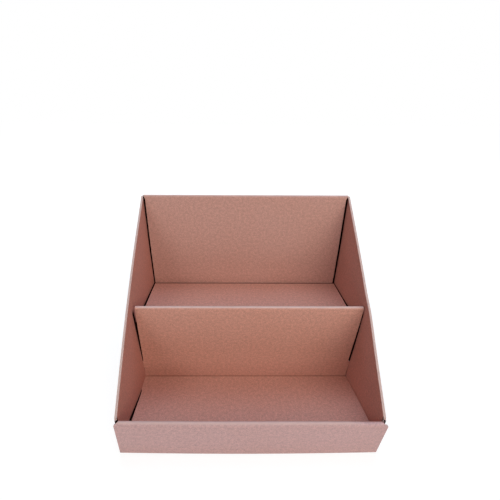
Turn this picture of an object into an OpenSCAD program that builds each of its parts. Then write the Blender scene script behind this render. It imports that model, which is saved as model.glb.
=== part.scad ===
// Two-tier counter display stand in kraft corrugated board.
// Two die-cut sheets, each folded from one blank: a tray with roll-over
// front lip and back, and a step that drops into it.
// Millimetres, front towards -Y, +Z up, origin under the middle of the stand.

/* [Stand] */
// Outer width over the side walls
stand_w = 200; // [140:1:400]
// Outer depth from the face of the lip to the face of the back
stand_d = 145; // [120:1:300]
// Height of the back
stand_h = 165; // [120:1:320]
// Height of the front lip
lip_h = 36.5; // [30:0.5:60]
// How far the side walls end below the top of the lip
side_front_drop = 0.5; // [0.5:0.5:8]
// How far the side walls end below the top of the back
side_back_drop = 1; // [0.5:0.5:8]
// Height of the cut top corners of the lip and the back
corner_h = 1.2; // [0.5:0.1:4]

/* [Step] */
// Height of the rear floor above the ground
step_h = 68.5; // [45:0.5:100]
// How far the divider rises above the rear floor
divider_rise = 19; // [8:0.5:30]
// Clear depth of the front tier, from the lip to the divider
front_tier_d = 65; // [45:1:80]

/* [Board] */
// Thickness of the corrugated board
board_t = 1.8; // [1.4:0.1:3]
// Inner radius of a right-angled crease
crease_r = 0.4; // [0.2:0.1:0.7]
// Play between two layers that lie on each other
layer_gap = 0.2; // [0.1:0.05:0.4]

/* [Fits] */
// Gap between the back's inner panel and each side wall
back_end_gap = 1.7; // [0.5:0.1:3]
// Gap between the lip's inner panel and each side wall
lip_end_gap = 0.5; // [0.3:0.1:1.5]
// Gap between the front floor and the left wall
step_left_gap = 0.5; // [0.3:0.1:2]
// Gap between the front floor and the right wall
step_right_gap = 0.3; // [0.2:0.1:1.5]
// How much each side of the step is cut back above the foot of the divider
step_cut_back = 1; // [0.5:0.1:2]
// Height of the divider's foot, which is as wide as the front floor
foot_h = 15; // [8:0.5:30]
// Play between the step and the lip or the back
step_end_gap = 0.3; // [0.2:0.1:1.5]

/* [Flaps] */
// Length of the side walls' flaps in the lip
lip_flap_len = 40; // [20:1:60]
// Length of the side walls' flaps in the back
back_flap_len = 45; // [20:1:65]
// How far the flaps in the back stay below the rear floor
back_flap_drop = 8; // [4:1:20]
// How far the ends of a flap slant in
flap_slant = 4; // [1:0.5:8]
// Gap under a flap
flap_foot_gap = 1; // [0.5:0.1:3]
// Straight board between a top fold and the jog round the flaps
jog_drop = 2; // [1:0.5:4]
// Height over which the lip's inner panel jogs in round the flaps
lip_jog_h = 7.5; // [4:0.5:10]
// Height over which the back's inner panel slants in round the flaps
back_jog_h = 60; // [20:1:70]

/* [Locks] */
// Width of a locking tab
tab_w = 24; // [12:1:40]
// Distance of a tab's middle from the middle of the stand
tab_x = 45; // [25:1:60]
// Clearance round a tab in its slot
slot_gap = 0.3; // [0.2:0.1:0.6]

/* [Hidden] */
$fn = 48;
kraft = [0.71, 0.51, 0.42];
kraft_inside = [0.66, 0.46, 0.38];

// Outer radius of a right-angled crease
bend_r = board_t + crease_r;
// Inner and outer radius of a fold that lays the board back on itself
flat_fold_r = layer_gap / 2;
flat_bend_r = board_t + flat_fold_r;
// Two panels with a flap between them
wall_stack = 3 * board_t + 2 * layer_gap;
// Where the board starts to turn up from the bottom panel
bottom_x = stand_w / 2 - bend_r;
bottom_y = stand_d / 2 - bend_r;
// Where the side walls end, and where their flaps start to turn in
side_end = stand_d / 2 - board_t - layer_gap;
side_y = side_end - bend_r;
// Lowest edge of what stands on the bottom panel
on_bottom_z = board_t + layer_gap;

// Inner panels of the lip and the back
lip_inner_w = stand_w - 2 * board_t - 2 * lip_end_gap;
back_inner_w = stand_w - 2 * board_t - 2 * back_end_gap;
jog_in = board_t + layer_gap;

// Flaps of the side walls
flap_foot_z = bend_r + flap_foot_gap;
lip_flap_top = lip_h - flat_bend_r - jog_drop - lip_jog_h - flap_foot_gap;
back_flap_top = step_h - back_flap_drop;

// Step
step_w = stand_w - 2 * board_t - step_left_gap - step_right_gap;
step_x = (step_left_gap - step_right_gap) / 2;
step_front_y = -stand_d / 2 + wall_stack + step_end_gap;
step_d = stand_d - 2 * wall_stack - 2 * step_end_gap;
divider_stack = 2 * board_t + layer_gap;
divider_top = step_h + divider_rise - flat_bend_r;

// A flat panel that runs along +Y from y = 0, its outer face on z = 0
module panel(outline) {
    linear_extrude(board_t) polygon(outline);
}

// A rectangular panel
module strip(width, length) {
    panel([[-width / 2, 0], [width / 2, 0], [width / 2, length], [-width / 2, length]]);
}

// Bends the board about X at y = 0, up for a positive angle and down for a
// negative one, and carries on with its children after the bend
module fold(width, angle, inner_r = crease_r) {
    centre_z = angle > 0 ? board_t + inner_r : -inner_r;
    start = angle > 0 ? -90 : 90 + angle;
    translate([-width / 2, 0, centre_z])
        rotate([90, 0, 90])
            rotate(start)
                rotate_extrude(angle = abs(angle))
                    translate([inner_r, 0])
                        square([board_t, width]);
    translate([0, 0, centre_z])
        rotate([angle, 0, 0])
            translate([0, 0, -centre_z])
                children();
}

// Carries on at the far edge of a panel of the given length
module beyond(length) {
    translate([0, length, 0]) children();
}

// Tabs on the far edge of a panel, which reach through the bottom panel
module tabs() {
    for (side = [-1, 1])
        translate([side * tab_x, 0, 0])
            strip(tab_w, board_t);
}

// Slots in the bottom panel for the tabs of a panel whose near face is at y
module slots(y) {
    for (side = [-1, 1])
        translate([side * tab_x - tab_w / 2 - slot_gap, y - slot_gap])
            square([tab_w + 2 * slot_gap, board_t + 2 * slot_gap]);
}

// A flap with slanting ends, from z0 to z1 on the edge of a side wall. Its
// crease goes on up to crease_top and closes the corner above the flap.
module flap(z0, z1, length, crease_top) {
    middle = (z0 + crease_top) / 2;
    low = middle - z0;
    high = middle - z1;
    translate([0, middle - bend_r, 0])
        rotate(-90)
            fold(crease_top - z0, 90)
                panel([
                    [low, 0], [low - flap_slant, length], [high + flap_slant, length], [high, 0]
                ]);
}

// The panel that the stand rests on
module bottom() {
    linear_extrude(board_t)
        difference() {
            square([2 * bottom_x, 2 * bottom_y], center = true);
            slots(-stand_d / 2 + wall_stack - board_t);
            slots(stand_d / 2 - wall_stack);
        }
}

// Outer panel of the lip or the back, with its top corners cut off down to
// the width of the inner panel
module outer_panel(length, inner_w) {
    half = stand_w / 2;
    panel([
        [-half, 0], [half, 0], [half, length - corner_h],
        [inner_w / 2, length], [-inner_w / 2, length], [-half, length - corner_h]
    ]);
}

// Inner panel of the lip or the back, which jogs away from the outer one to
// make room for the flaps
module jogged_panel(width, length, jog_h) {
    translate([-width / 2, 0, 0])
        rotate([90, 0, 90])
            linear_extrude(width)
                polygon([
                    [0, 0], [jog_drop, 0], [jog_drop + jog_h, -jog_in], [length, -jog_in],
                    [length, board_t - jog_in], [jog_drop + jog_h, board_t - jog_in],
                    [jog_drop, board_t], [0, board_t]
                ]);
}

// Right side wall with its sloping top edge and both flaps. Above the rear
// flap it reaches up to the outer panel of the back.
module side_wall() {
    front_top = lip_h - side_front_drop - bend_r;
    rear_top = stand_h - side_back_drop - bend_r;
    rear_step = back_flap_top + flap_foot_gap - bend_r;
    translate([bottom_x, 0, 0])
        rotate(-90)
            fold(2 * side_y, 90) {
                panel([
                    [-side_y, 0], [side_y, 0], [side_y, front_top],
                    [-side_end, rear_top], [-side_end, rear_step], [-side_y, rear_step]
                ]);
                translate([side_y, 0, 0])
                    flap(flap_foot_z, lip_flap_top, lip_flap_len, lip_h - side_front_drop - corner_h);
                translate([-side_y, 0, 0])
                    mirror([1, 0, 0])
                        flap(flap_foot_z, back_flap_top, back_flap_len, back_flap_top);
            }
}

// The lip or the back: turned up from the bottom panel, rolled over the flaps
// and locked into the bottom panel again
module rolled_wall(height, inner_w, jog_h) {
    outer_len = height - flat_bend_r - bend_r;
    inner_len = height - flat_bend_r - on_bottom_z;
    beyond(bottom_y)
        fold(stand_w, 90) {
            outer_panel(outer_len, inner_w);
            beyond(outer_len)
                fold(inner_w, 180, flat_fold_r) {
                    jogged_panel(inner_w, inner_len, jog_h);
                    translate([0, inner_len, -jog_in]) tabs();
                }
        }
}

// The tray: bottom, side walls, lip and back in one folded sheet
module outer_tray() {
    color(kraft) {
        bottom();
        for (flip = [0, 1])
            mirror([flip, 0, 0]) side_wall();
        rotate(180) rolled_wall(lip_h, lip_inner_w, lip_jog_h);
        rolled_wall(stand_h, back_inner_w, back_jog_h);
    }
}

// Cut through a straight length of board that runs along +X, its outer face
// on y = 0, and carries on with its children at the far end
module run(length) {
    square([length, board_t]);
    translate([length, 0]) children();
}

// Cut through a right-angled bend, up for dir = 1 and down for dir = -1,
// which carries on with its children after the bend
module bend(dir, inner_r = crease_r) {
    outer_r = inner_r + board_t;
    centre = dir > 0 ? outer_r : -inner_r;
    translate([0, centre])
        intersection() {
            difference() {
                circle(outer_r);
                circle(inner_r);
            }
            translate([0, dir > 0 ? -outer_r : 0]) square(outer_r);
        }
    translate([0, centre])
        rotate(90 * dir)
            translate([0, -centre])
                children();
}

// Cut through the step from front to rear: floor, divider up, over and down, rear floor, leg
module step_profile() {
    floor_len = front_tier_d - step_end_gap - crease_r;
    front_len = divider_top - on_bottom_z - bend_r;
    back_len = divider_top - step_h - crease_r;
    rear_len = step_d - floor_len - crease_r - divider_stack - crease_r - bend_r;
    leg_len = step_h - bend_r - on_bottom_z;
    run(floor_len) bend(1)
        run(front_len) bend(-1, flat_fold_r) bend(-1, flat_fold_r)
            run(back_len) bend(1)
                run(rear_len) bend(-1)
                    run(leg_len);
}

// All of the step seen from the side but its front floor and the divider's foot
module cut_back_part() {
    behind_foot = front_tier_d - step_end_gap + divider_stack;
    top = step_h + divider_rise;
    polygon([
        [-1, foot_h - on_bottom_z], [behind_foot, foot_h - on_bottom_z], [behind_foot, -1],
        [step_d + 1, -1], [step_d + 1, top], [-1, top]
    ]);
}

// The step: front floor, doubled divider, rear floor and leg in one folded
// sheet, a little narrower above the divider's foot
module step_insert() {
    color(kraft_inside)
        translate([step_x - step_w / 2, step_front_y, on_bottom_z])
            rotate([90, 0, 90])
                difference() {
                    linear_extrude(step_w) step_profile();
                    for (z = [-1, step_w - step_cut_back])
                        translate([0, 0, z]) linear_extrude(step_cut_back + 1) cut_back_part();
                }
}

outer_tray();
step_insert();
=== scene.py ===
# %% [markdown]
# # A counter display stand in kraft board
# The real stand is two sheets of thin corrugated board, each cut flat and
# folded up: a tray with a rolled-over front lip and back, and a step that
# drops into the tray. This lesson folds both sheets in the same order as on
# the packing bench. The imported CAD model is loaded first, and everything is
# in its frame: metres, the front towards -Y, and +Z up.

import math

import bmesh
import bpy
from mathutils import Matrix, Vector


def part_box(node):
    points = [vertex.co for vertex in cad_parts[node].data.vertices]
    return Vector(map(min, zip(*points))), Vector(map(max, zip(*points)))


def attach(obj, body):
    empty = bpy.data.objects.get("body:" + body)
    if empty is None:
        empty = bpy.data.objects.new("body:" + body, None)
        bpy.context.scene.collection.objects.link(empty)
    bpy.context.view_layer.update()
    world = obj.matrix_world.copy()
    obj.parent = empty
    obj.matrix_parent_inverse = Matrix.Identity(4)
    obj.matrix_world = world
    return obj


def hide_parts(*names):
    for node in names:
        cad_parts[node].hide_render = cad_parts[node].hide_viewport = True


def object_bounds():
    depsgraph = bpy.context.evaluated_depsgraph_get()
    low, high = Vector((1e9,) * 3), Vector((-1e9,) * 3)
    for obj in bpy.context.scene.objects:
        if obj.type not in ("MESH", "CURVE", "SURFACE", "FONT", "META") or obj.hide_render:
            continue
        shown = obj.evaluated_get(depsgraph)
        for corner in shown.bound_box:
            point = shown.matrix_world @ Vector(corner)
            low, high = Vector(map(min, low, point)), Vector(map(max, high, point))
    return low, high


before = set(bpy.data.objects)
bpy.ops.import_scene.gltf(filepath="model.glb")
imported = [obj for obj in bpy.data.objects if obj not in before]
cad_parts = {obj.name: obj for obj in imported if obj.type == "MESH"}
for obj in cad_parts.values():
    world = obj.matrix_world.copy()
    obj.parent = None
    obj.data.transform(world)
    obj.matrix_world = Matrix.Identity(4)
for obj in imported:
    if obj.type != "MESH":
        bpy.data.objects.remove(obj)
cad_low, cad_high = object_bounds()
print("CAD box", [round(v, 4) for v in cad_low], [round(v, 4) for v in cad_high])

# %% [markdown]
# The camera stands in front of the stand and looks down at it by about 26
# degrees, close enough for a strong perspective. Its place comes from the
# corners of the stand in the photograph. The small shift is there because
# the optical axis lies a little to the left of the middle of the picture.

# %% Camera
PICTURE = 500
FOCAL_PIXELS = 299.53
AXIS_COLUMN = 233.53
CAMERA_PLACE = Vector((-0.01469, -0.21237, 0.24363))
YAW, PITCH, ROLL = (math.radians(a) for a in (0.457, 25.917, -0.356))

forward = Vector((math.sin(YAW) * math.cos(PITCH), math.cos(YAW) * math.cos(PITCH), -math.sin(PITCH)))
level_right = Vector((math.cos(YAW), -math.sin(YAW), 0))
level_down = forward.cross(level_right)
right = math.cos(ROLL) * level_right + math.sin(ROLL) * level_down
down = math.cos(ROLL) * level_down - math.sin(ROLL) * level_right

bpy.ops.object.select_all(action="DESELECT")
bpy.ops.object.camera_add()
camera = bpy.context.object
camera.name = "camera"
axes = Matrix((right, -down, -forward)).transposed()
camera.matrix_world = Matrix.Translation(CAMERA_PLACE) @ axes.to_4x4()
camera.data.sensor_width = 36
camera.data.lens = FOCAL_PIXELS / PICTURE * camera.data.sensor_width
camera.data.shift_x = (PICTURE / 2 - AXIS_COLUMN) / PICTURE
camera.data.clip_start = 0.01
bpy.context.scene.camera = camera
print("lens", round(camera.data.lens, 2), "mm, shift", round(camera.data.shift_x, 4))

# %% [markdown]
# The picture has a plain white ground. The world is white where the camera or
# a reflection sees it and gives little light, so the background costs the board
# no colour. The floor is pale, and seen directly it adds a glow of its own that
# grows with the distance: lit floor comes out white, and a soft shadow stays
# round the stand. Under the stand it doesn't glow, so that the slots in the
# bottom stay dark. Soft lamps stand at the front to the left and the right,
# cooler ones hang above, and a low one lights the outside of the back. Each
# side wall keeps the lamp on its side out of the corners, which stay dark.

# %% Floor, world and lamps
FLOOR_SIZE, FLOOR_DROP = 8, 0.0003
FLOOR_COLOUR, FLOOR_SEEN_COLOUR = (0.86, 0.86, 0.86, 1.0), (0.25, 0.25, 0.25, 1.0)
GLOW_NEAR, GLOW_FAR = 0.2, 1.2
GLOW_LOW, GLOW_HIGH = 0.84, 0.985
NO_GLOW_INSET = 0.003
AMBIENT_COLOUR, AMBIENT = (0.94, 0.97, 1.0, 1.0), 0.08
STAND = Vector((0, 0, 0.06))
WARM, WHITE = (1.0, 0.93, 0.81), (1.0, 0.99, 0.97)
SKY, DEEP_SKY = (0.64, 0.72, 1.0), (0.41, 0.73, 1.0)

scene = bpy.context.scene
scene.view_settings.view_transform = "Standard"


def join(tree, source, target):
    """Links two sockets of a node tree."""
    tree.links.new(source, target)


def math_node(tree, operation, *values):
    """The result of one math operation on sockets or numbers."""
    node = tree.nodes.new("ShaderNodeMath")
    node.operation = operation
    for socket, value in zip(node.inputs, values):
        if isinstance(value, (int, float)):
            socket.default_value = value
        else:
            join(tree, value, socket)
    return node.outputs[0]


def object_place(tree):
    """The X, Y and Z of a point, in its object's own coordinates."""
    where = tree.nodes.new("ShaderNodeTexCoord")
    parts = tree.nodes.new("ShaderNodeSeparateXYZ")
    join(tree, where.outputs["Object"], parts.inputs[0])
    return [parts.outputs[axis] for axis in "XYZ"]


def seen_directly(tree):
    """1 where the camera, a reflection or glass looks at a surface, else 0."""
    path = tree.nodes.new("ShaderNodeLightPath")
    seen = math_node(tree, "MAXIMUM", path.outputs["Is Camera Ray"], path.outputs["Is Glossy Ray"])
    return math_node(tree, "MAXIMUM", seen, path.outputs["Is Transmission Ray"])


def by_view(tree, lighting, looks):
    """One shader for the light that bounces about, another for what is seen."""
    mix = tree.nodes.new("ShaderNodeMixShader")
    join(tree, seen_directly(tree), mix.inputs[0])
    join(tree, lighting, mix.inputs[1])
    join(tree, looks, mix.inputs[2])
    return mix.outputs[0]


def background(tree, colour, strength):
    """A world colour that shines with the given strength."""
    node = tree.nodes.new("ShaderNodeBackground")
    node.inputs["Color"].default_value = colour
    node.inputs["Strength"].default_value = strength
    return node.outputs[0]


def diffuse(tree, colour):
    """A plain matt surface."""
    node = tree.nodes.new("ShaderNodeBsdfDiffuse")
    node.inputs["Color"].default_value = colour
    return node.outputs[0]


def floor_glow(tree):
    """The floor's own light: more of it further away, and none under the stand."""
    x, y, _ = object_place(tree)
    distance = math_node(tree, "SQRT", math_node(
        tree, "ADD", math_node(tree, "MULTIPLY", x, x), math_node(tree, "MULTIPLY", y, y)))
    share = tree.nodes.new("ShaderNodeMapRange")
    limits = {"From Min": GLOW_NEAR, "From Max": GLOW_FAR, "To Min": GLOW_LOW, "To Max": GLOW_HIGH}
    for socket, number in limits.items():
        share.inputs[socket].default_value = number
    join(tree, distance, share.inputs["Value"])
    beside = math_node(tree, "GREATER_THAN", math_node(tree, "ABSOLUTE", x), cad_high.x - NO_GLOW_INSET)
    before = math_node(tree, "GREATER_THAN", math_node(tree, "ABSOLUTE", y), cad_high.y - NO_GLOW_INSET)
    around = math_node(tree, "MAXIMUM", beside, before)
    glow = tree.nodes.new("ShaderNodeEmission")
    join(tree, math_node(tree, "MULTIPLY", share.outputs["Result"], around), glow.inputs["Strength"])
    return glow.outputs[0]


world = bpy.data.worlds.new("studio")
scene.world = world
world.use_nodes = True
tree = world.node_tree
tree.nodes.clear()
sky = tree.nodes.new("ShaderNodeOutputWorld")
dim, white = background(tree, AMBIENT_COLOUR, AMBIENT), background(tree, (1.0, 1.0, 1.0, 1.0), 1.0)
join(tree, by_view(tree, dim, white), sky.inputs["Surface"])

bpy.ops.object.select_all(action="DESELECT")
bpy.ops.mesh.primitive_plane_add(size=FLOOR_SIZE, location=(0, 0, -FLOOR_DROP))
floor = bpy.context.object
floor.name = "floor"
floor_paint = bpy.data.materials.new("floor_paint")
floor_paint.use_nodes = True
tree = floor_paint.node_tree
tree.nodes.clear()
glowing = tree.nodes.new("ShaderNodeAddShader")
join(tree, diffuse(tree, FLOOR_SEEN_COLOUR), glowing.inputs[0])
join(tree, floor_glow(tree), glowing.inputs[1])
skin = tree.nodes.new("ShaderNodeOutputMaterial")
join(tree, by_view(tree, diffuse(tree, FLOOR_COLOUR), glowing.outputs[0]), skin.inputs["Surface"])
floor.data.materials.append(floor_paint)


def soft_lamp(name, place, wide, deep, watts, colour):
    """A rectangular lamp that looks at the stand."""
    bpy.ops.object.light_add(type="AREA", location=place)
    lamp = bpy.context.object
    lamp.name = name
    lamp.data.shape = "RECTANGLE"
    lamp.data.size = wide
    lamp.data.size_y = deep
    lamp.data.energy = watts
    lamp.data.color = colour
    lamp.rotation_euler = (STAND - Vector(place)).to_track_quat("-Z", "Y").to_euler()


soft_lamp("left_lamp", (-0.8, -0.8, 0.8), 0.7, 0.7, 3.9, WHITE)
soft_lamp("right_lamp", (0.62, -1.0, 0.45), 1.3, 0.55, 5.9, WARM)
soft_lamp("right_high_lamp", (0.5, -0.62, 1.1), 1.0, 0.7, 3.4, WARM)
soft_lamp("top_lamp", (0.1, 0.2, 1.2), 0.6, 0.5, 2.9, SKY)
soft_lamp("rear_lamp", (0.1, 0.45, 1.15), 1.2, 0.5, 4.8, DEEP_SKY)
soft_lamp("back_lamp", (-0.4, 1.3, 0.45), 1.0, 0.5, 7.0, WARM)
print("stage and lamps ready")

# %% [markdown]
# The board is thin corrugated board, 1.8 mm thick. A fold can't be sharp: the
# crease leaves a small inner radius, and the outside runs round at that radius
# plus the thickness. Where real board is folded flat on itself, the layers
# touch. Here, as in the CAD model, they lie a fifth of a millimetre apart.

# %% Board and stand sizes
MM = 0.001
BOARD = 1.8 * MM
CREASE_IN = 0.4 * MM
CREASE_OUT = CREASE_IN + BOARD
LAYER_GAP = 0.2 * MM
FLAT_OUT = BOARD + LAYER_GAP / 2
_, tray_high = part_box("outer_tray")
HALF_W = tray_high.x
HALF_D = tray_high.y
BACK_H = tray_high.z
LIP_H = 36.5 * MM
WALL_STACK = 3 * BOARD + 2 * LAYER_GAP
ON_BOTTOM = BOARD + LAYER_GAP
print("stand", [round(2 * HALF_W / MM, 1), round(2 * HALF_D / MM, 1), round(BACK_H / MM, 1)], "mm")

# %% [markdown]
# Folding by hand in Blender takes three moves. A row of edges is picked by its
# place, it is extruded to lay out the next panel, and it is spun about the
# crease to bend the board. Both operators leave the new row selected, so a
# strip is folded by calling them in turn. With no window, the spin turns
# clockwise about its axis.

# %% Folding moves
ACROSS, BACKWARDS, UP = Vector((1, 0, 0)), Vector((0, 1, 0)), Vector((0, 0, 1))
HAIR = 0.01 * MM
MERGE = 0.001 * MM


def start_panel(name, x0, x1, y0, y1, z):
    """A flat panel to fold the rest of the sheet from, in edit mode."""
    bpy.ops.object.select_all(action="DESELECT")
    bpy.ops.mesh.primitive_plane_add(size=1)
    sheet = bpy.context.object
    sheet.name = name
    sheet.data.name = name
    bpy.ops.object.mode_set(mode="EDIT")
    bpy.ops.mesh.select_mode(type="EDGE")
    bpy.ops.mesh.select_all(action="SELECT")
    bpy.ops.transform.resize(value=(x1 - x0, y1 - y0, 1))
    bpy.ops.transform.translate(value=((x0 + x1) / 2, (y0 + y1) / 2, z))
    return sheet


def pick(sheet, test, kind="edges"):
    """Selects the edges or faces whose corners all pass the test."""
    bpy.ops.mesh.select_all(action="DESELECT")
    mesh = bmesh.from_edit_mesh(sheet.data)
    count = 0
    for item in getattr(mesh, kind):
        if all(test(corner.co) for corner in item.verts):
            item.select_set(True)
            count += 1
    mesh.select_flush_mode()
    bmesh.update_edit_mesh(sheet.data)
    return count


def score(places, direction):
    """Draws lines across a new panel at the given places, to give it rows."""
    for place in places:
        bpy.ops.mesh.select_all(action="SELECT")
        bpy.ops.mesh.bisect(plane_co=direction * place, plane_no=direction)


def run(step, rows=1):
    """Lays out the next panel from the selected row of edges."""
    for _ in range(rows):
        bpy.ops.mesh.extrude_region_move(TRANSFORM_OT_translate={"value": Vector(step) / rows})


def fold(centre, axis, degrees=90, steps=6):
    """Bends the board on from the selected row of edges."""
    bpy.ops.mesh.spin(steps=steps, angle=math.radians(degrees), center=centre, axis=axis)


def spread(width_now, width_next):
    """Makes the selected row wider or narrower about the middle of the stand."""
    bpy.ops.transform.resize(value=(width_next / width_now, 1, 1), center_override=(0, 0, 0))


def near(value, place, slack=0.05 * MM):
    """True where a measure is the given one, but for a little slack."""
    return abs(value - place) < slack


def only(sheet):
    """Makes one sheet the selected and active object."""
    bpy.ops.object.select_all(action="DESELECT")
    sheet.select_set(True)
    bpy.context.view_layer.objects.active = sheet


def end_folding(sheet):
    """Merges the points that meet at the corners and leaves edit mode."""
    bpy.ops.mesh.select_all(action="SELECT")
    bpy.ops.mesh.remove_doubles(threshold=MERGE)
    bpy.ops.object.mode_set(mode="OBJECT")
    places = [corner.co for corner in sheet.data.vertices]
    low = [round(min(place[i] for place in places) / MM, 2) for i in range(3)]
    high = [round(max(place[i] for place in places) / MM, 2) for i in range(3)]
    print(sheet.name, "from", low, "to", high, "mm")


# %% [markdown]
# The tray's bottom panel is where its blank starts. It ends where the board
# begins to turn up. It needs lines where the flaps and the locking slots lie,
# and more lines between them so that the walls can bow later. The slots that
# the lip's and the back's tabs lock into are cut by deleting faces.

# %% Bottom panel of the tray
BOTTOM_X = HALF_W - CREASE_OUT
BOTTOM_Y = HALF_D - CREASE_OUT
WALL_END = HALF_D - BOARD - LAYER_GAP
WALL_Y = WALL_END - CREASE_OUT
TAB_IN, TAB_OUT = 33 * MM, 57 * MM
SLOT_GAP = 0.3 * MM
SLOT_NEAR = HALF_D - WALL_STACK - SLOT_GAP
SLOT_FAR = HALF_D - WALL_STACK + BOARD + SLOT_GAP

tray = start_panel("tray_sheet", -BOTTOM_X, BOTTOM_X, -BOTTOM_Y, BOTTOM_Y, 0)
columns = [16.5 * MM, TAB_IN - SLOT_GAP, TAB_IN, 45 * MM]
columns += [TAB_OUT, TAB_OUT + SLOT_GAP, 71 * MM, 85 * MM]
columns = [-c for c in columns] + [0] + columns
rows = [SLOT_NEAR, SLOT_FAR, WALL_Y] + [11 * MM * n for n in range(1, 6)]
rows = [-r for r in rows] + [0] + rows
score(columns, ACROSS)
score(rows, BACKWARDS)


def in_slot(corner):
    """True on the bottom panel where a locking slot is cut."""
    across = TAB_IN - SLOT_GAP - HAIR < abs(corner.x) < TAB_OUT + SLOT_GAP + HAIR
    along = SLOT_NEAR - HAIR < abs(corner.y) < SLOT_FAR + HAIR
    return across and along


bpy.ops.mesh.select_mode(type="FACE")
slot_faces = pick(tray, in_slot, "faces")
bpy.ops.mesh.delete(type="FACE")
bpy.ops.mesh.select_mode(type="EDGE")
print("bottom panel scored,", slot_faces, "faces cut out for the slots")

# %% [markdown]
# Each side wall turns up along the bottom panel, rises to the height of the
# back, and is then cut down to the slope with a bisect, as the die cuts it.
# Low down, its ends fold in as flaps that the lip and the back close over,
# slanted so that they slide in easily. Above its rear flap the wall reaches
# right up to the back's outer panel, and the crease of its front flap goes on
# almost to the top and closes the corner.

# %% Side walls and flaps
SIDE_FRONT_Z = LIP_H - 0.5 * MM
SIDE_BACK_Z = BACK_H - 1 * MM
FLAP_FOOT = CREASE_OUT + 1 * MM
LIP_FLAP_TOP = 24.1 * MM
BACK_FLAP_TOP = 60.5 * MM
FRONT_CREASE_TOP = 34.8 * MM
LIP_FLAP, BACK_FLAP, FLAP_TAPER = 40 * MM, 45 * MM, 8 * MM
FLAP_CLEAR = 1 * MM
slope = Vector((0, WALL_Y + WALL_END, SIDE_BACK_Z - SIDE_FRONT_Z)).normalized()
slope_up = Vector((0, -slope.z, slope.y))
levels = [FLAP_FOOT, 13 * MM, LIP_FLAP_TOP, FRONT_CREASE_TOP, 47 * MM]
levels += [BACK_FLAP_TOP, BACK_FLAP_TOP + FLAP_CLEAR]
levels += [n * MM for n in (70, 80, 90, 100, 110, 120, 130, 141, 153)] + [SIDE_BACK_Z]

for side in (-1, 1):
    pick(tray, lambda c: near(c.x, side * BOTTOM_X) and near(c.z, 0) and abs(c.y) < WALL_Y + HAIR)
    fold((side * BOTTOM_X, 0, CREASE_OUT), BACKWARDS * side)
    here = CREASE_OUT
    for level in levels:
        run(UP * (level - here))
        here = level
    pick(tray, lambda c: near(c.x, side * HALF_W) and near(c.y, WALL_Y)
         and c.z > BACK_FLAP_TOP + FLAP_CLEAR - HAIR)
    run(BACKWARDS * CREASE_OUT)
    for end, crease_top, top, length in ((-1, FRONT_CREASE_TOP, LIP_FLAP_TOP, LIP_FLAP),
                                         (1, BACK_FLAP_TOP, BACK_FLAP_TOP, BACK_FLAP)):
        pick(tray, lambda c: near(c.x, side * HALF_W) and near(c.y, end * WALL_Y)
             and FLAP_FOOT - HAIR < c.z < crease_top + HAIR)
        fold((side * BOTTOM_X, end * WALL_Y, 0), -UP * side * end)
        found = pick(tray, lambda c: near(c.x, side * BOTTOM_X) and near(c.y, end * WALL_END)
                     and FLAP_FOOT - HAIR < c.z < top + HAIR)
        run(ACROSS * -side * length, 2)
        tall = top - FLAP_FOOT
        middle = (0, 0, (top + FLAP_FOOT) / 2)
        bpy.ops.transform.resize(value=(1, 1, (tall - FLAP_TAPER) / tall), center_override=middle)
        print("flap on side", side, "end", end, "from", found, "edges")
    pick(tray, lambda c: near(c.x, side * HALF_W) and c.z > CREASE_OUT - HAIR, "faces")
    bpy.ops.mesh.bisect(plane_co=(0, WALL_END, SIDE_BACK_Z), plane_no=slope_up, clear_outer=True)

# %% [markdown]
# The lip and the back are made alike. The panel rises from the bottom, is
# folded flat over the flaps and comes down again inside. It is as wide as the
# stand up to the fold, where its corners are cut off at a slant. Its inner panel
# steps in round the flaps, and two tabs lock it into the slots.

# %% Front lip and back
LIP_INNER = HALF_W - BOARD - 0.5 * MM
BACK_INNER = HALF_W - BOARD - 1.7 * MM
RIDGE = 97.2 * MM
BELOW_RIDGE = 2 * MM
LIP_JOG, BACK_JOG = 7.5 * MM, 60 * MM


def rolled_wall(end, tall, inner, jog, rows_up, rows_down):
    """Folds up the lip, where the end is -1, or the back, where it is 1."""
    turn = ACROSS * -end
    inwards = BACKWARDS * -end
    top = tall - FLAT_OUT
    pick(tray, lambda c: near(c.y, end * BOTTOM_Y) and near(c.z, 0))
    fold((0, end * BOTTOM_Y, CREASE_OUT), turn)
    pick(tray, lambda c: end * c.y > BOTTOM_Y + HAIR and c.z < CREASE_OUT + HAIR)
    spread(BOTTOM_X, HALF_W)
    pick(tray, lambda c: near(c.y, end * HALF_D) and near(c.z, CREASE_OUT))
    run(UP * (top - CREASE_OUT), rows_up)
    crease = (0, end * (HALF_D - FLAT_OUT), top)
    widths = [HALF_W + (RIDGE - HALF_W) * n / 6 for n in range(7)]
    for width_now, width_next in zip(widths, widths[1:]):
        fold(crease, turn, 15, 1)
        spread(width_now, width_next)
    fold(crease, turn, 90, 6)
    run(UP * -BELOW_RIDGE)
    spread(RIDGE, inner)
    run(inwards * (BOARD + LAYER_GAP) - UP * jog, rows_down)
    run(UP * (ON_BOTTOM - top + BELOW_RIDGE + jog), rows_down)
    tab_y = end * (HALF_D - WALL_STACK)
    tabs = pick(tray, lambda c: near(c.y, tab_y) and near(c.z, ON_BOTTOM)
                and TAB_IN - 10 * HAIR < abs(c.x) < TAB_OUT + 10 * HAIR)
    run(UP * -BOARD)
    print("wall", tall / MM, "mm high rolled over, tabs from", tabs, "edges")


rolled_wall(-1, LIP_H, LIP_INNER, LIP_JOG, 5, 2)
rolled_wall(1, BACK_H, BACK_INNER, BACK_JOG, 9, 6)
end_folding(tray)

# %% [markdown]
# The step is one strip. It starts with the front floor, turns up into the
# divider, which is doubled by a flat fold at its top, and goes on as the rear
# floor and the leg that stands before the back. It is folded from the face
# that shows. The front floor and the divider's foot fill the tray, and the
# rest is cut back a little on both sides, so that the step drops in easily.

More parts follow.
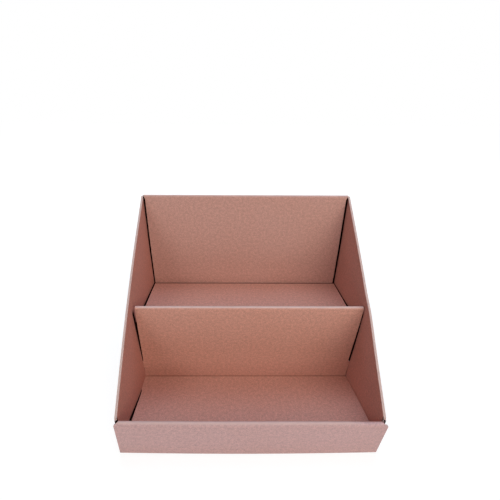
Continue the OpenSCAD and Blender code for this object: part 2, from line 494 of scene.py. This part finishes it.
# %% Step sheet
step_low, step_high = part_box("step_insert")
FLOOR_Z = ON_BOTTOM + BOARD
STEP_H = 68.5 * MM
FRONT_DEPTH = 65 * MM
DIVIDER_Y = -HALF_D + WALL_STACK + FRONT_DEPTH
DIVIDER_TOP = step_high.z - FLAT_OUT
CUT_BACK = 1 * MM
FOOT_TOP = 15 * MM
PINCH_TOP = 23 * MM
PINCH_END = 1 * MM
NARROW_LEFT, NARROW_RIGHT = step_low.x + CUT_BACK, step_high.x - CUT_BACK
BESIDE_CREASE = 0.9 * MM
FLOOR_ROWS = [n * MM for n in (-5, -9, -16, -20)]

step = start_panel("step_sheet", step_low.x, step_high.x, step_low.y, DIVIDER_Y - CREASE_IN, FLOOR_Z)
score([NARROW_LEFT + (NARROW_RIGHT - NARROW_LEFT) * n / 14 for n in range(15)], ACROSS)
score([step_low.y + 13 * MM * n for n in range(1, 5)], BACKWARDS)
score([DIVIDER_Y - CREASE_IN - BESIDE_CREASE] + FLOOR_ROWS, BACKWARDS)

pick(step, lambda c: near(c.y, DIVIDER_Y - CREASE_IN))
fold((0, DIVIDER_Y - CREASE_IN, FLOOR_Z + CREASE_IN), -ACROSS)
run(UP * BESIDE_CREASE)
run(UP * (FOOT_TOP - FLOOR_Z - CREASE_IN - BESIDE_CREASE), 2)
pick(step, lambda c: near(c.z, FOOT_TOP) and NARROW_LEFT - HAIR < c.x < NARROW_RIGHT + HAIR)
run(UP * (PINCH_TOP - FOOT_TOP), 2)
run(UP * PINCH_END)
run(UP * (DIVIDER_TOP - PINCH_TOP - PINCH_END), 6)
fold((0, DIVIDER_Y + FLAT_OUT, DIVIDER_TOP), ACROSS, 180, 12)
rear_y = DIVIDER_Y + 2 * FLAT_OUT
run(UP * (STEP_H + CREASE_IN + BESIDE_CREASE - DIVIDER_TOP), 3)
run(UP * -BESIDE_CREASE)
fold((0, rear_y + CREASE_IN, STEP_H + CREASE_IN), -ACROSS)
run(BACKWARDS * BESIDE_CREASE)
run(BACKWARDS * (step_high.y - CREASE_OUT - rear_y - CREASE_IN - BESIDE_CREASE), 6)
fold((0, step_high.y - CREASE_OUT, STEP_H - CREASE_OUT), ACROSS)
run(UP * (step_low.z - STEP_H + CREASE_OUT), 6)
end_folding(step)

# %% [markdown]
# All faces of a sheet have to look the same way before it gets its thickness.
# The operator makes them agree with each other, and one face whose side is
# known tells whether the whole sheet has to be turned over.

# %% Turn the faces outwards
def face_out(sheet, place, outwards):
    """Turns the faces so that the one nearest to the place looks outwards."""
    only(sheet)
    bpy.ops.object.mode_set(mode="EDIT")
    bpy.ops.mesh.select_all(action="SELECT")
    bpy.ops.mesh.normals_make_consistent(inside=False)
    bpy.ops.object.mode_set(mode="OBJECT")
    known = min(sheet.data.polygons, key=lambda face: (face.center - Vector(place)).length)
    if known.normal.dot(outwards) < 0:
        sheet.data.flip_normals()
    looks = [round(n, 2) for n in known.normal]
    print(sheet.name, "faces", len(sheet.data.polygons), "known face looks", looks)


LIP_SPOT = (0.02, -HALF_D, 0.02)
BOTTOM_SPOT = (0.02, 0.01, 0)
FLOOR_SPOT = (0.02, -0.04, FLOOR_Z)
face_out(tray, LIP_SPOT, -BACKWARDS)
face_out(step, FLOOR_SPOT, UP)

# %% [markdown]
# Paper fibres and flutes run straight across the flat sheet, whatever way it
# is folded later. So each sheet gets a UV map that is its flat blank, in
# metres. Blender's unwrap scales the blank to fit a square. Here the sheet is
# unfolded exactly instead: each face is laid flat beside its neighbour, hinged
# on the edge that they share.

# %% Lay each sheet out flat for its UV map
def flat_blank(sheet, place):
    """Writes the unfolded sheet as its UV map, starting at the face nearest to the place."""
    mesh = bmesh.new()
    mesh.from_mesh(sheet.data)
    layer = mesh.loops.layers.uv.new("blank")
    first = min(mesh.faces, key=lambda face: (face.calc_center_median() - Vector(place)).length)
    laid = {first: {v: Vector((v.co.x, v.co.y if first.normal.z > 0 else -v.co.y)) for v in first.verts}}
    waiting = [first]
    while waiting:
        face = waiting.pop(0)
        for edge in face.edges:
            a, b = edge.verts
            for other in edge.link_faces:
                if other in laid:
                    continue
                along = (b.co - a.co).normalized()
                aside = other.normal.cross(along)
                flat_a = laid[face][a]
                flat_along = (laid[face][b] - flat_a).normalized()
                flat_aside = Vector((-flat_along.y, flat_along.x))
                laid[other] = {}
                for v in other.verts:
                    arm = v.co - a.co
                    laid[other][v] = flat_a + flat_along * arm.dot(along) + flat_aside * arm.dot(aside)
                waiting.append(other)
    for face, corners in laid.items():
        for loop in face.loops:
            loop[layer].uv = corners[loop.vert]
    spots = [spot for corners in laid.values() for spot in corners.values()]
    span = [max(spot[i] for spot in spots) - min(spot[i] for spot in spots) for i in (0, 1)]
    mesh.to_mesh(sheet.data)
    mesh.free()
    print(sheet.name, "blank", [round(length / MM) for length in span], "mm")


flat_blank(tray, BOTTOM_SPOT)
flat_blank(step, FLOOR_SPOT)

# %% [markdown]
# Real board isn't flat. The side walls are held at both ends and belly out
# along their free top edge. The left one also leans out a little, with the left
# end of the back, and the divider presses the right one out. The divider leans
# to the front and sits askew between the walls, so its left gap opens towards
# the top. The front floor has curled up beside the walls, by some millimetres,
# and leaves a narrow gap at its left front corner. The divider's foot is pressed
# against the walls, and the rear floor leaves a gap on the right. The lip
# bows forward, sags to the right, and its right end is out of square. All the
# rest is a millimetre or two, moved point by point with a smooth fall-off.

# %% Bow, lean and skew
SLACK = 0.1 * MM
WALL_BOW, BOW_CURVE, WALL_ZONE = 1.35 * MM, 1.3, 2.25 * MM
LEFT_LEAN = 0.01
WALL_PRESS, PRESS_REACH = 1.0 * MM, 22 * MM
PRESS_FOOT, PRESS_HEAD = (10 * MM, 50 * MM), (84 * MM, 100 * MM)
BACK_LEFT_SHIFT, BACK_LEFT_LEAN, BACK_RIGHT_SHIFT = 0.5 * MM, 0.0055, 0.4 * MM
LIP_BOW = 1.0 * MM
LIP_SAG, LIP_SAG_LEFT, LIP_SAG_RIGHT = 0.5 * MM, 0.7 * MM, 2.0 * MM
LIP_SAG_FOOT = 8 * MM
LIP_END_FOOT, LIP_END_SKEW = -2.2 * MM, 0.08
DIVIDER_LEAN, LEAN_FADE = 2.5 * MM, 25 * MM
STEP_LEFT, STEP_LEFT_SKEW = -98.1 * MM, 1.1 * MM
STEP_RIGHT, STEP_RIGHT_SKEW = 96.6 * MM, 2.6 * MM
PINCH_LEFT, PINCH_LEFT_SLOPE = -98.4 * MM, -0.02
PINCH_RIGHT, PINCH_RIGHT_SLOPE = 98.2 * MM, 0.04
REAR_INSET, REAR_INSET_FADE = 1.5 * MM, 12 * MM
FLOOR_GAP, FLOOR_TURN, FLOOR_PUSH = 0.5 * MM, 0.035, 0.55 * MM
GAP_END, GAP_FADE, GAP_REACH = -20 * MM, (-20.5 * MM, -16 * MM), 14 * MM
LEFT_CURL, RIGHT_CURL, RIGHT_CURL_CURVE = 7.2 * MM, 9 * MM, 1.5
CURL_NEAR, CURL_FAR = DIVIDER_Y - 62 * MM, DIVIDER_Y - 8 * MM


def rise(value, low_end, high_end):
    """0 below the low end, 1 above the high end, and a smooth curve between."""
    t = min(max((value - low_end) / (high_end - low_end), 0), 1)
    return t * t * (3 - 2 * t)


def askew(x, y, z):
    """Where a point of the cut-back part of the step ends up across the stand."""
    up = z - FOOT_TOP
    if z < PINCH_TOP + HAIR:
        left = PINCH_LEFT + PINCH_LEFT_SLOPE * up
        right = PINCH_RIGHT + PINCH_RIGHT_SLOPE * up
    else:
        share = up / (step_high.z - FOOT_TOP)
        left = STEP_LEFT + STEP_LEFT_SKEW * share
        right = STEP_RIGHT + STEP_RIGHT_SKEW * share
    right -= REAR_INSET * rise(y, rear_y, rear_y + REAR_INSET_FADE)
    return left + (right - left) * (x - NARROW_LEFT) / (NARROW_RIGHT - NARROW_LEFT)


def curl(x, y):
    """How far the front floor has curled up beside the side walls."""
    share = (x / step_high.x) ** 2
    if x < 0:
        return LEFT_CURL * share * (1 - rise(y, CURL_NEAR, CURL_FAR))
    to_crease = (y - step_low.y) / (DIVIDER_Y - CREASE_IN - step_low.y)
    return RIGHT_CURL * share * (1 - min(max(to_crease, 0), 1) ** RIGHT_CURL_CURVE)


for corner in tray.data.vertices:
    x, y, z = corner.co
    in_side_wall = abs(x) > HALF_W - WALL_ZONE and abs(y) < WALL_END + SLACK / 2
    in_back = y > HALF_D - WALL_STACK - SLACK
    if in_side_wall:
        along = min(max((y + WALL_Y) / (2 * WALL_Y), 0), 1)
        top = SIDE_FRONT_Z + along * (SIDE_BACK_Z - SIDE_FRONT_Z)
        out = WALL_BOW * math.sin(math.pi * along) * (z / top) ** BOW_CURVE
        if x < 0:
            corner.co.x -= out + LEFT_LEAN * z
        else:
            beside = math.exp(-((y - DIVIDER_Y) / PRESS_REACH) ** 2)
            at_height = rise(z, *PRESS_FOOT) * (1 - rise(z, *PRESS_HEAD))
            corner.co.x += out + WALL_PRESS * beside * at_height
    elif in_back and near(x, -HALF_W):
        corner.co.x -= LEFT_LEAN * z
    elif in_back and x < SLACK - BACK_INNER:
        corner.co.x -= BACK_LEFT_SHIFT + BACK_LEFT_LEAN * z
    elif in_back and near(x, BACK_INNER, SLACK):
        corner.co.x -= BACK_RIGHT_SHIFT
    elif y < -BOTTOM_Y - HAIR and near(x, HALF_W):
        corner.co.x += LIP_END_FOOT + LIP_END_SKEW * z
    if not in_side_wall and y < -HALF_D + WALL_STACK + SLACK:
        end_sag = LIP_SAG_LEFT if x < 0 else LIP_SAG_RIGHT
        corner.co.y -= LIP_BOW * math.cos(x / HALF_W * math.pi / 2)
        corner.co.z -= (LIP_SAG + end_sag * (x / HALF_W) ** 2) * rise(z, LIP_SAG_FOOT, LIP_H)

for corner in step.data.vertices:
    x, y, z = corner.co
    forward_part = 1 - rise(y, rear_y, rear_y + LEAN_FADE)
    corner.co.y -= DIVIDER_LEAN * rise(z, FLOOR_Z, step_high.z) * forward_part
    cut_back = near(z, FOOT_TOP) and NARROW_LEFT - HAIR < x < NARROW_RIGHT + HAIR
    if z > FOOT_TOP + HAIR or y > rear_y or cut_back:
        corner.co.x = askew(x, y, z)
    else:
        at_left = 1 - rise(x, step_low.x, step_low.x + GAP_REACH)
        gap = FLOOR_GAP - FLOOR_TURN * (y - GAP_END)
        in_gap = 1 - rise(y, *GAP_FADE)
        corner.co.x += at_left * ((gap + FLOOR_PUSH) * in_gap - FLOOR_PUSH)
        if near(z, FLOOR_Z):
            corner.co.z += curl(x, y)
print("walls bowed by", WALL_BOW / MM, "mm, divider leans by", DIVIDER_LEAN / MM, "mm")

# %% [markdown]
# Kraft liner is unbleached paper: a matt brown with cloudy formation, short
# fibres a little paler and darker than the rest, and a faint ribbing where the
# flutes lie beneath. Where it is folded, the stretched fibres go paler, and the
# top of a fold also gets a painted highlight, strongest where it faces up.
# Where the paper faces outwards it takes a greyer tone, which is painted cool
# light, as bounced up from the white floor. Inner creases and the groove before
# the back get painted shade, and so does the hidden side of the paper in the
# hollows behind the divider, in the lip and in the back, the slit at each end
# of the lip and the back's foot below the rear floor. One recipe makes each
# liner from its own base colour. The patterns read the flat blank.

# %% Kraft liner
FLUTE_PITCH = 3.2 * MM
SLIT_SLANT = 1.2
SLIT_START = SLIT_SLANT * (HALF_W - BOARD) - 68.2 * MM
INNER_FACE = HALF_D - WALL_STACK
JOG_FOOT, JOG_TOP = 101 * MM, 161 * MM
# DARK is the colour of painted shade in the hollows, the slits at the lip's ends and the back's foot
# below the rear floor.
DARK = (0.03, 0.02, 0.02)
BEHIND_STEP_SHADE = 0.6


def paper_start(name):
    """A new paper, with its nodes, its shader and its place on the flat blank."""
    paper = bpy.data.materials.new(name)
    paper.use_nodes = True
    nodes = paper.node_tree
    nodes.nodes.clear()
    shader = nodes.nodes.new("ShaderNodeBsdfPrincipled")
    skin = nodes.nodes.new("ShaderNodeOutputMaterial")
    join(nodes, shader.outputs[0], skin.inputs["Surface"])
    blank = nodes.nodes.new("ShaderNodeUVMap")
    blank.uv_map = "blank"
    return paper, nodes, shader, blank.outputs[0]


def stretch(nodes, value, low_end, high_end, low_out=0.0, high_out=1.0):
    """Takes a value from one range to another, smoothly and with fixed ends."""
    node = nodes.nodes.new("ShaderNodeMapRange")
    node.interpolation_type = "SMOOTHSTEP"
    limits = {"From Min": low_end, "From Max": high_end, "To Min": low_out, "To Max": high_out}
    for socket, number in limits.items():
        node.inputs[socket].default_value = number
    join(nodes, value, node.inputs["Value"])
    return node.outputs["Result"]


def grain(nodes, where, scale, detail=3.0, squeeze=(1, 1, 1), turn=0.0, rough=0.55):
    """Noise on the blank, drawn out one way where it is squeezed the other."""
    place = nodes.nodes.new("ShaderNodeMapping")
    place.inputs["Scale"].default_value = squeeze
    place.inputs["Rotation"].default_value = (0, 0, turn)
    join(nodes, where, place.inputs["Vector"])
    node = nodes.nodes.new("ShaderNodeTexNoise")
    node.inputs["Scale"].default_value = scale
    node.inputs["Detail"].default_value = detail
    node.inputs["Roughness"].default_value = rough
    join(nodes, place.outputs[0], node.inputs["Vector"])
    return node.outputs["Fac"]


def tint(nodes, amount, under, over, blend="MIX"):
    """Lays one colour over another."""
    node = nodes.nodes.new("ShaderNodeMix")
    node.data_type = "RGBA"
    node.blend_type = blend
    join(nodes, amount, node.inputs["Factor"])
    for socket, colour in ((node.inputs["A"], under), (node.inputs["B"], over)):
        if isinstance(colour, tuple):
            socket.default_value = (*colour, 1.0)
        else:
            join(nodes, colour, socket)
    return node.outputs["Result"]


def mark(nodes, name):
    """A mark that the sheet carries at its points."""
    node = nodes.nodes.new("ShaderNodeAttribute")
    node.attribute_name = name
    return node.outputs["Fac"]


def flute_wave(nodes, where):
    """The corrugation across the blank, from -1 to 1."""
    parts = nodes.nodes.new("ShaderNodeSeparateXYZ")
    join(nodes, where, parts.inputs[0])
    turns = math_node(nodes, "MULTIPLY", parts.outputs["Y"], 2 * math.pi / FLUTE_PITCH)
    return math_node(nodes, "SINE", turns)


def unlit(nodes):
    """1 on paper in the closed hollows, which hardly any light reaches and which get painted shade, else
    0.
    """
    x, y, z = object_place(nodes)
    upright = math_node(nodes, "MULTIPLY_ADD", z, DIVIDER_LEAN / step_high.z, y)
    behind_divider = stretch(nodes, upright, DIVIDER_Y + 0.2 * MM, DIVIDER_Y + 0.7 * MM)
    under_floor = stretch(nodes, z, STEP_H - 0.9 * MM, STEP_H - 0.2 * MM, 1.0, 0.0)
    under_step = math_node(nodes, "MULTIPLY", behind_divider, under_floor)
    divider_zone = stretch(nodes, upright, rear_y, rear_y + 0.8 * MM, 1.0, 0.0)
    divider_zone = math_node(nodes, "MULTIPLY", divider_zone, behind_divider)
    below_rim = stretch(nodes, z, step_high.z - 9 * MM, step_high.z - 3 * MM, 1.0, 0.0)
    in_divider = math_node(nodes, "MULTIPLY", divider_zone, below_rim)
    back_slant = stretch(nodes, z, JOG_FOOT, JOG_TOP, 0.0, BOARD + LAYER_GAP)
    past_back = math_node(nodes, "SUBTRACT", y, back_slant)
    in_back = stretch(nodes, past_back, INNER_FACE + 0.3 * MM, INNER_FACE + 0.8 * MM)
    in_lip = stretch(nodes, y, -INNER_FACE - 0.8 * MM, -INNER_FACE - 0.3 * MM, 1.0, 0.0)
    on_left = stretch(nodes, x, -HALF_W, 0.0, 1.0, 0.0)
    lift = stretch(nodes, y, CURL_NEAR, CURL_FAR, LEFT_CURL, 0.0)
    above_bottom = math_node(nodes, "SUBTRACT", z, math_node(nodes, "MULTIPLY", on_left, lift))
    under_front = stretch(nodes, above_bottom, 2.8 * MM, 3.6 * MM, 1.0, 0.0)
    hollow = under_step
    for other in (in_divider, under_front, in_back, in_lip):
        hollow = math_node(nodes, "MAXIMUM", hollow, other)
    return hollow


def lip_slit_shade(nodes):
    """1 in the slit between the lip and the folded end of a side wall, which gets painted shade, else 0.
    """
    x, y, z = object_place(nodes)
    aside = math_node(nodes, "ABSOLUTE", x)
    slant = math_node(nodes, "MULTIPLY_ADD", aside, SLIT_SLANT, y)
    before_wall = stretch(nodes, slant, SLIT_START - 0.2 * MM, SLIT_START + 0.2 * MM, 1.0, 0.0)
    behind_lip = stretch(nodes, y, -WALL_END - 0.15 * MM, -WALL_END + 0.05 * MM)
    at_side = stretch(nodes, aside, HALF_W - 2.25 * MM, HALF_W - 2.1 * MM)
    above_floor = stretch(nodes, z, 4 * MM, 8 * MM)
    slit = math_node(nodes, "MULTIPLY", before_wall, behind_lip)
    return math_node(nodes, "MULTIPLY", slit, math_node(nodes, "MULTIPLY", at_side, above_floor))


def behind_step_shade(nodes):
    """1 on the back's inner panel below the rear floor, which gets painted shade, else 0."""
    x, y, z = object_place(nodes)
    aside = math_node(nodes, "ABSOLUTE", x)
    low = stretch(nodes, z, STEP_H - 0.8 * MM, STEP_H + 0.1 * MM, 1.0, 0.0)
    in_back = stretch(nodes, y, INNER_FACE - 0.6 * MM, INNER_FACE - 0.3 * MM)
    inside = stretch(nodes, y, WALL_END - 0.4 * MM, WALL_END - 0.2 * MM, 1.0, 0.0)
    between = stretch(nodes, aside, HALF_W - 2.3 * MM, HALF_W - 2.2 * MM, 1.0, 0.0)
    panel = math_node(nodes, "MULTIPLY", in_back, inside)
    return math_node(nodes, "MULTIPLY", low, math_node(nodes, "MULTIPLY", panel, between))


def darken(nodes, shader, skin, shade):
    """Gives the shader its colour, with painted shade near black and without gloss where the shade is 1.
    """
    join(nodes, tint(nodes, shade, skin, DARK, "MULTIPLY"), shader.inputs["Base Color"])
    join(nodes, stretch(nodes, shade, 0.0, 1.0, 0.5, 0.0), shader.inputs["Specular IOR Level"])


def emboss(nodes, shader, height, strength, depth):
    """Gives the shader a fine relief."""
    bump = nodes.nodes.new("ShaderNodeBump")
    bump.inputs["Strength"].default_value = strength
    bump.inputs["Distance"].default_value = depth
    join(nodes, height, bump.inputs["Height"])
    join(nodes, bump.outputs[0], shader.inputs["Normal"])


def kraft_liner(name, colour, wear_and_highlight, painted_cool_light=None, hidden_side=False):
    """Kraft paper in its fresh colour, a paler colour for the tops of folds with a painted highlight,
    and a greyer colour of painted cool light.
    """
    paper, nodes, shader, blank = paper_start(name)
    # painted cool light: where the mark is set, the outward faces take the greyer colour
    skin = tint(nodes, mark(nodes, "painted_cool_light"), colour, painted_cool_light) if painted_cool_light else colour
    broad = stretch(nodes, grain(nodes, blank, 18, 2), 0.3, 0.7, 0.0, 0.5)
    skin = tint(nodes, broad, skin, (0.98, 0.95, 0.92), "MULTIPLY")
    clouds = stretch(nodes, grain(nodes, blank, 400, 4, rough=0.65), 0.3, 0.7)
    skin = tint(nodes, clouds, skin, (1.27, 1.27, 1.27), "MULTIPLY")
    speckle = stretch(nodes, grain(nodes, blank, 1100, 2), 0.3, 0.7)
    skin = tint(nodes, speckle, skin, (0.78, 0.77, 0.76), "MULTIPLY")
    pale_fibres = stretch(nodes, grain(nodes, blank, 1200, 2, (1, 0.22, 1), 0.35), 0.64, 0.78, 0.0, 0.55)
    skin = tint(nodes, pale_fibres, skin, (1.35, 1.4, 1.45), "MULTIPLY")
    dark_fibres = stretch(nodes, grain(nodes, blank, 1300, 2, (0.24, 1, 1), 0.2), 0.64, 0.8, 0.0, 0.6)
    skin = tint(nodes, dark_fibres, skin, (0.62, 0.55, 0.5), "MULTIPLY")
    # painted shade in the inner creases and in the groove before the back
    crease_shade = stretch(nodes, mark(nodes, "crease_shade"), 0.2, 1.0, 0.0, 0.8)
    skin = tint(nodes, crease_shade, skin, (0.6, 0.5, 0.45), "MULTIPLY")
    # paler stretched fibres and a painted highlight on the tops of the folds, broken up by cracks
    cracks = stretch(nodes, grain(nodes, blank, 260, 3, (1, 0.35, 1)), 0.2, 0.6, 0.75, 1.0)
    wear_and_highlight_share = math_node(nodes, "MULTIPLY", mark(nodes, "wear_and_highlight"), cracks)
    skin = tint(nodes, wear_and_highlight_share, skin, wear_and_highlight)
    # painted shade: on the hidden side in the hollows, and elsewhere in the lip's slits and at the
    # back's foot
    if hidden_side:
        shade = unlit(nodes)
    else:
        # painted shade, at part strength, on the back's foot below the rear floor
        at_back = math_node(nodes, "MULTIPLY", behind_step_shade(nodes), BEHIND_STEP_SHADE)
        shade = math_node(nodes, "MAXIMUM", lip_slit_shade(nodes), at_back)
    darken(nodes, shader, skin, shade)
    join(nodes, stretch(nodes, clouds, 0.0, 1.0, 0.6, 0.74), shader.inputs["Roughness"])
    ribs = math_node(nodes, "MULTIPLY", flute_wave(nodes, blank), 0.12)
    relief = math_node(nodes, "ADD", ribs, grain(nodes, blank, 650, 3))
    emboss(nodes, shader, relief, 0.22, 0.4 * MM)
    return paper


# Each liner's colours: fresh paper, then the paler fold tops with their painted highlight, and for the
# outer liner the greyer colour under painted cool light.
outer_liner = kraft_liner("outer_liner", (0.55, 0.3, 0.255), (0.66, 0.43, 0.38), (0.567, 0.355, 0.35))
inner_liner = kraft_liner("inner_liner", (0.48, 0.21, 0.168), (0.6, 0.4, 0.34), hidden_side=True)
step_liner = kraft_liner("step_liner", (0.6, 0.3, 0.235), (0.7, 0.48, 0.42))
print("liners ready")

# %% [markdown]
# A cut edge shows how the board is made: two thin liners, with the fluted
# paper waving between them. The wave follows the blank along the edge, and an
# attribute that is 0 on one liner and 1 on the other tells how far across the
# edge a point is. The hollows between the flutes get painted shade, only a
# little, because the cutting rule presses the flutes together and leaves a
# fuzzy, pale edge. The slit at each end of the lip gets painted shade as well.

# %% Cut edge
def cut_edge(name, colour):
    """The rim of the board, with the fluted paper between its two liners."""
    paper, nodes, shader, blank = paper_start(name)
    depth = mark(nodes, "across")
    middle = math_node(nodes, "ABSOLUTE", math_node(nodes, "SUBTRACT", depth, 0.5))
    liner = stretch(nodes, middle, 0.34, 0.4)
    wave = math_node(nodes, "MULTIPLY_ADD", flute_wave(nodes, blank), 0.3, 0.5)
    gap = math_node(nodes, "ABSOLUTE", math_node(nodes, "SUBTRACT", depth, wave))
    medium = stretch(nodes, gap, 0.08, 0.16, 1.0, 0.0)
    solid = math_node(nodes, "MAXIMUM", liner, medium)
    # painted shade: the hollows between the flutes come out 0.85 times as bright
    skin = tint(nodes, solid, tuple(0.85 * channel for channel in colour), colour)
    fuzz = stretch(nodes, grain(nodes, blank, 900, 3), 0.4, 0.7, 0.0, 0.5)
    skin = tint(nodes, fuzz, skin, (1.15, 1.15, 1.15), "MULTIPLY")
    # painted shade in the slit at each end of the lip
    darken(nodes, shader, skin, lip_slit_shade(nodes))
    shader.inputs["Roughness"].default_value = 0.92
    emboss(nodes, shader, solid, 0.4, 0.5 * MM)
    return paper


edge_paper = cut_edge("cut_edge", (0.7, 0.5, 0.455))
print("cut edge ready")

# %% [markdown]
# Solidify gives each sheet its thickness away from the face that was folded.
# It puts the other liner on the far side and the cut edge on the rim. The
# first half of the finished points are the folded ones, and the second half
# lie on the other side of the board.

# %% Thickness and finishes
# How much painted cool light the lip and the other outside panels get, how far up a fold top must face
# for its painted highlight to start and to be full, and the fold angle past which an inner crease gets
# painted shade.
LIP_COOL_LIGHT, OUTSIDE_COOL_LIGHT = 1.0, 0.3
WEAR_HIGHLIGHT_FROM, WEAR_HIGHLIGHT_FULL = 0.55, 0.95
SHADED_FOLD, SMOOTH_FOLD = math.radians(-5), math.radians(35)


def nowhere(place):
    """False at every place of a sheet."""
    return False


def make_board(sheet, front_paper, rear_paper, ridge, groove=nowhere, outside=nowhere):
    """Thickens a sheet, gives it its papers and marks the tops of its folds for paler fibres and painted
    highlight, its inner creases and groove for painted shade and its outer sides for painted cool light.
    """
    only(sheet)
    for paper in (front_paper, rear_paper, edge_paper):
        sheet.data.materials.append(paper)
    # the share of paler fibres and painted highlight grows as the top of a fold faces up
    wear_and_highlight_points = [rise(v.normal.z, WEAR_HIGHLIGHT_FROM, WEAR_HIGHLIGHT_FULL) if ridge(v.co) else 0.0
              for v in sheet.data.vertices]
    # painted shade on the inner creases and, below, on the groove
    crease_shade_points = [0.0] * len(sheet.data.vertices)
    mesh = bmesh.new()
    mesh.from_mesh(sheet.data)
    for edge in mesh.edges:
        if len(edge.link_faces) == 2 and edge.calc_face_angle_signed() < SHADED_FOLD:
            for v in edge.verts:
                crease_shade_points[v.index] = 1.0
    mesh.free()
    for v in sheet.data.vertices:
        if groove(v.co):
            crease_shade_points[v.index] = 1.0
    # painted cool light on the outside faces
    cool_light_share = [float(outside(v.co)) for v in sheet.data.vertices]
    thick = sheet.modifiers.new("board", "SOLIDIFY")
    thick.thickness = BOARD
    thick.offset = -1
    thick.use_even_offset = True
    thick.use_rim = True
    thick.material_offset = 1
    thick.material_offset_rim = 2
    bpy.ops.object.modifier_apply(modifier=thick.name)
    count = len(crease_shade_points)
    blank_side = [0.0] * count
    marks = {"across": blank_side + [1.0] * count, "wear_and_highlight": wear_and_highlight_points + blank_side,
             "crease_shade": crease_shade_points + blank_side, "painted_cool_light": cool_light_share + blank_side}
    for mark_name, values in marks.items():
        layer = sheet.data.attributes.new(mark_name, "FLOAT", "POINT")
        layer.data.foreach_set("value", values)
    bpy.ops.object.shade_smooth_by_angle(angle=SMOOTH_FOLD)
    print(sheet.name, count, "points folded,", len(sheet.data.vertices), "with the other side")


def faces_out(place):
    """How much painted cool light the paper gets: most on the lip, less on the other outside panels, 0
    inside.
    """
    if place.y < -WALL_END - SLACK:
        return LIP_COOL_LIGHT
    outer_wall = place.y > WALL_END + SLACK or abs(place.x) > HALF_W - SLACK
    return OUTSIDE_COOL_LIGHT if outer_wall or place.z < SLACK else 0.0


def tray_ridge(place):
    """True on the top folds of the lip and the back."""
    lip_top = place.y < 0 and place.z > LIP_H - FLAT_OUT - HAIR and abs(place.y) > WALL_END - FLAT_OUT
    return lip_top or place.z > BACK_H - FLAT_OUT - HAIR


def step_ridge(place):
    """True on the top fold of the divider."""
    return place.z > DIVIDER_TOP - HAIR


def step_groove(place):
    """True where the rear floor bends down before the back, a groove that gets painted shade."""
    return place.y > step_high.y - 1.7 * MM and place.z < STEP_H - 0.05 * MM


make_board(tray, outer_liner, inner_liner, tray_ridge, outside=faces_out)
make_board(step, step_liner, inner_liner, step_ridge, groove=step_groove)

# %% [markdown]
# Each sheet stands for its CAD node and rides on the stand's one body.

# %% Sheets in place of the CAD parts
for sheet, node in ((tray, "outer_tray"), (step, "step_insert")):
    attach(sheet, "root")
    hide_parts(node)
